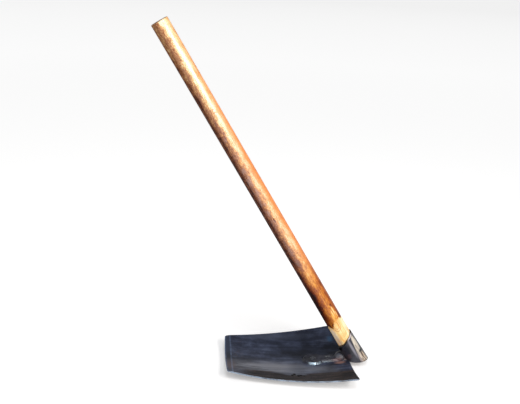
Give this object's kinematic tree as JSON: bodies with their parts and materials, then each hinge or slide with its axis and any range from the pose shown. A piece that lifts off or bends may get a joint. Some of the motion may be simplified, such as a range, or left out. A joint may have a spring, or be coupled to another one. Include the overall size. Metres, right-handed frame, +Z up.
{
  "type": "digging hoe",
  "caption": "Long-handled digging hoe: a broad dished steel blade riveted to the tongue of a slanted forged eye that holds a leaning wooden handle, for breaking and moving earth.",
  "frame": {"origin": "middle of the bounding box on the ground under the blade, on the plane of symmetry", "axes": "+Z up, with the hoe at rest on its blade; the cutting edge points to -X and the handle leans up towards -X; +Y across the blade"},
  "size_m": [0.495, 0.2566, 0.7473],
  "materials": {
    "blade_steel": "dark blue-grey scale, oiled, worn bright along the ground bevel and the edges",
    "forged_steel": "dark forged scale, rubbed bright down the back and at the mouth",
    "rivet_steel": "hammered, dark with bare high spots",
    "handle_wood": "stained and varnished pole, freshly shaved and bare above the eye",
    "wedge_wood": "bare split hardwood",
    "wedge_iron": "dark iron, hammered end"
  },
  "bodies": {
    "root": {"blade": "blade_steel", "eye_socket": "forged_steel", "rear_rivet": "rivet_steel", "front_rivet": "rivet_steel", "handle": "handle_wood", "wooden_wedge": "wedge_wood", "iron_wedge": "wedge_iron"}
  },
  "joints": []
}
